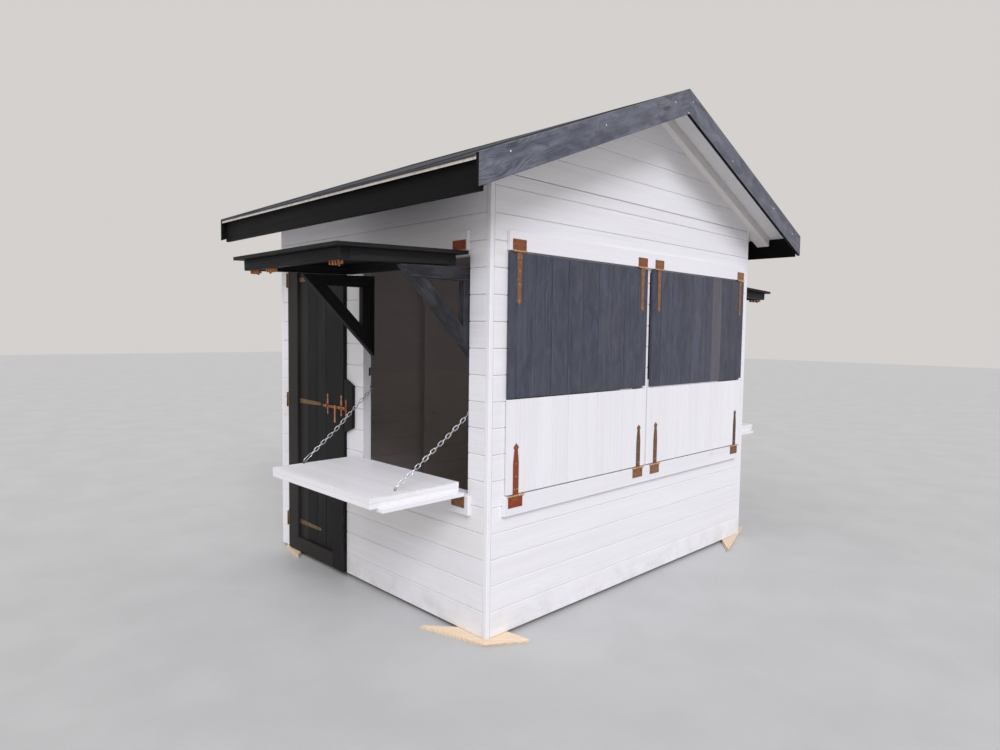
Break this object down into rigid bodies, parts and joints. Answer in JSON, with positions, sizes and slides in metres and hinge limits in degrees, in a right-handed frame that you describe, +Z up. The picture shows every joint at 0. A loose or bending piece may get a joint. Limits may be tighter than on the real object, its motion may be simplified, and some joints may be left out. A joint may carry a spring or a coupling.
{
  "type": "timber market hut",
  "caption": "Gabled timber market hut with a plank door, two serving hatches whose awning and counter flaps stand open, and closed flaps in the front gable.",
  "frame": {"origin": "on the floor under the corner packing, in the middle of the plan", "axes": "+Z up, -Y out of the front gable with the closed flaps, -X out of the door wall"},
  "size_m": [4.3648, 2.728, 3.0748],
  "materials": {
    "white_boards": "white stain on grooved boards, greyed and scuffed",
    "black_boards": "black-grey paint on boards, dusty in the light",
    "dark_bargeboard": "anthracite paint, satin",
    "raw_timber": "bare sawn spruce, darkened with age",
    "grey_deck": "thin grey-white paint",
    "pine_offcuts": "fresh bare pine",
    "roofing_felt": "mineral roofing felt",
    "rusty_iron": "rusty strap hinges",
    "door_brass": "dull yellow zinc plating and copper",
    "chain_steel": "bright zinc chain"
  },
  "bodies": {
    "hut": {"corner_pads": "pine_offcuts", "floor_bearers": "raw_timber", "floor_boards": "raw_timber", "end_cladding": "white_boards", "gable_panels": "white_boards", "side_cladding": "white_boards", "wall_posts": "raw_timber", "wall_rails": "raw_timber", "corner_battens": "white_boards", "hatch_boards": "white_boards", "wall_irons": "rusty_iron", "keeper_board": "black_boards", "rafters": "grey_deck", "roof_deck": "grey_deck", "roof_felt": "roofing_felt", "bargeboards": "dark_bargeboard", "eave_fascias": "black_boards"},
    "door": {"door_leaf": "black_boards", "door_irons": "door_brass"},
    "upper_flap_left": {"flap_ul": "black_boards", "flap_ul_irons": "rusty_iron"},
    "upper_flap_right": {"flap_ur": "black_boards", "flap_ur_irons": "rusty_iron"},
    "lower_flap_left": {"flap_ll": "white_boards", "flap_ll_irons": "rusty_iron"},
    "lower_flap_right": {"flap_lr": "white_boards", "flap_lr_irons": "rusty_iron"},
    "left_awning": {"awning_left": "black_boards", "awning_left_irons": "rusty_iron"},
    "right_awning": {"awning_right": "black_boards", "awning_right_irons": "rusty_iron"},
    "left_counter": {"counter_left": "white_boards", "counter_left_irons": "rusty_iron"},
    "right_counter": {"counter_right": "white_boards", "counter_right_irons": "rusty_iron"},
    "left_near_bracket": {"bracket_left_near": "black_boards"},
    "left_far_bracket": {"bracket_left_far": "black_boards"},
    "right_near_bracket": {"bracket_right_near": "black_boards"},
    "right_far_bracket": {"bracket_right_far": "black_boards"},
    "left_chain_outer": {"chain_left_a": "chain_steel"},
    "left_chain_inner": {"chain_left_b": "chain_steel"},
    "right_chain_outer": {"chain_right_a": "chain_steel"},
    "right_chain_inner": {"chain_right_b": "chain_steel"}
  },
  "joints": [
    {"name": "door_hinge", "type": "hinge", "parent": "hut", "child": "door", "pos_m": [-1.415, 0.963, 1.098], "axis": [0, 0, -1], "range_deg": [0, 165]},
    {"name": "upper_flap_left_hinge", "type": "hinge", "parent": "hut", "child": "upper_flap_left", "pos_m": [-0.6905, -1.126, 2.014], "axis": [-1, 0, 0], "range_deg": [0, 115]},
    {"name": "upper_flap_right_hinge", "type": "hinge", "parent": "hut", "child": "upper_flap_right", "pos_m": [0.5965, -1.126, 2.014], "axis": [-1, 0, 0], "range_deg": [0, 115]},
    {"name": "lower_flap_left_hinge", "type": "hinge", "parent": "hut", "child": "lower_flap_left", "pos_m": [-0.674, -1.126, 0.749], "axis": [1, 0, 0], "range_deg": [0, 90]},
    {"name": "lower_flap_right_hinge", "type": "hinge", "parent": "hut", "child": "lower_flap_right", "pos_m": [0.6, -1.126, 0.749], "axis": [1, 0, 0], "range_deg": [0, 90]},
    {"name": "left_awning_hinge", "type": "hinge", "parent": "hut", "child": "left_awning", "pos_m": [-1.416, -0.457, 2.014], "axis": [0, 1, 0], "range_deg": [0, 30]},
    {"name": "right_awning_hinge", "type": "hinge", "parent": "hut", "child": "right_awning", "pos_m": [1.416, -0.416, 2.014], "axis": [0, -1, 0], "range_deg": [0, 30]},
    {"name": "left_counter_hinge", "type": "hinge", "parent": "hut", "child": "left_counter", "pos_m": [-1.416, -0.457, 0.749], "axis": [0, 1, 0], "range_deg": [0, 90]},
    {"name": "right_counter_hinge", "type": "hinge", "parent": "hut", "child": "right_counter", "pos_m": [1.416, -0.416, 0.749], "axis": [0, -1, 0], "range_deg": [0, 90]},
    {"name": "left_near_bracket_hinge", "type": "hinge", "parent": "hut", "child": "left_near_bracket", "pos_m": [-1.332, -0.945, 1.65], "axis": [0, 0, -1], "range_deg": [0, 90]},
    {"name": "left_far_bracket_hinge", "type": "hinge", "parent": "hut", "child": "left_far_bracket", "pos_m": [-1.332, 0.028, 1.65], "axis": [0, 0, 1], "range_deg": [0, 90]},
    {"name": "right_near_bracket_hinge", "type": "hinge", "parent": "hut", "child": "right_near_bracket", "pos_m": [1.332, -0.904, 1.65], "axis": [0, 0, 1], "range_deg": [0, 90]},
    {"name": "right_far_bracket_hinge", "type": "hinge", "parent": "hut", "child": "right_far_bracket", "pos_m": [1.332, 0.069, 1.65], "axis": [0, 0, -1], "range_deg": [0, 90]},
    {"name": "left_chain_eye", "type": "hinge", "parent": "left_counter", "child": "left_chain_outer", "pos_m": [-1.808, -0.4585, 0.835], "axis": [0, 1, 0], "range_deg": [0, 36]},
    {"name": "left_chain_middle", "type": "hinge", "parent": "left_chain_outer", "child": "left_chain_inner", "pos_m": [-1.6, -0.4585, 0.995], "axis": [0, 1, 0], "range_deg": [-172.8, 0]},
    {"name": "right_chain_eye", "type": "hinge", "parent": "right_counter", "child": "right_chain_outer", "pos_m": [1.808, -0.4175, 0.835], "axis": [0, -1, 0], "range_deg": [0, 36]},
    {"name": "right_chain_middle", "type": "hinge", "parent": "right_chain_outer", "child": "right_chain_inner", "pos_m": [1.6, -0.4175, 0.995], "axis": [0, -1, 0], "range_deg": [-172.8, 0]}
  ],
  "couplings": [
    {"joint": "left_chain_eye", "follows": "left_counter_hinge", "ratio": 0.4},
    {"joint": "left_chain_middle", "follows": "left_counter_hinge", "ratio": -1.92},
    {"joint": "right_chain_eye", "follows": "right_counter_hinge", "ratio": 0.4},
    {"joint": "right_chain_middle", "follows": "right_counter_hinge", "ratio": -1.92}
  ]
}
